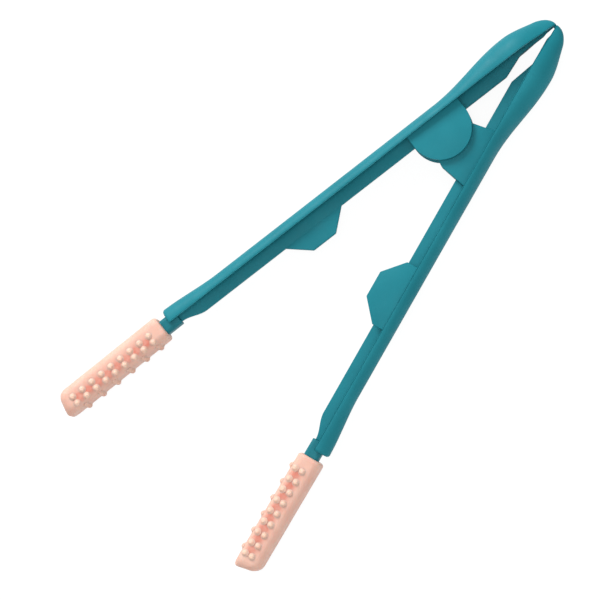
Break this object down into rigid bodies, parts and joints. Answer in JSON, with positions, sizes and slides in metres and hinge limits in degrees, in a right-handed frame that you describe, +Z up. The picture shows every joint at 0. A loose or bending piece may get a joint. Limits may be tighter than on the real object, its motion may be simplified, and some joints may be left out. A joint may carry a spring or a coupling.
{
  "type": "spring loaded kitchen tongs",
  "caption": "Long kitchen tongs with ribbed plastic arms on a sprung hinge, leaf-shaped handles and studded soft sleeves on the gripping tips.",
  "frame": {"origin": "middle of the open tongs' outline as they lie on their side, on the surface that they lie on", "axes": "+X runs from the tail towards the gripping tips, +Z points up out of the surface, the arms open in the XY plane and the arm that carries the hinge cheeks is on the -Y side"},
  "size_m": [0.2873, 0.125, 0.0188],
  "materials": {
    "arm_plastic": "satin moulded",
    "core_plastic": "satin moulded",
    "silicone": "soft matt",
    "steel": "brushed",
    "spring_steel": "drawn wire",
    "washer_nylon": "satin"
  },
  "bodies": {
    "right_side": {"right_arm": "arm_plastic", "front_cheek": "arm_plastic", "rear_cheek": "arm_plastic", "cheek_screws": "steel", "pivot_pin": "steel", "hinge_washers": "washer_nylon", "torsion_spring": "spring_steel", "right_tip_core": "core_plastic", "right_core_pin": "steel", "right_sleeve": "silicone"},
    "left_side": {"left_arm": "arm_plastic", "left_tip_core": "core_plastic", "left_core_pin": "steel", "left_sleeve": "silicone"}
  },
  "joints": [
    {"name": "arm_hinge", "type": "hinge", "parent": "right_side", "child": "left_side", "pos_m": [-0.07175, -0.00875, 0.0094], "axis": [0, 0, -1], "range_deg": [0, 26.5], "stiffness_Nm_per_rad": 0.25, "springref_deg": -60.16, "deforming": ["torsion_spring"]}
  ]
}
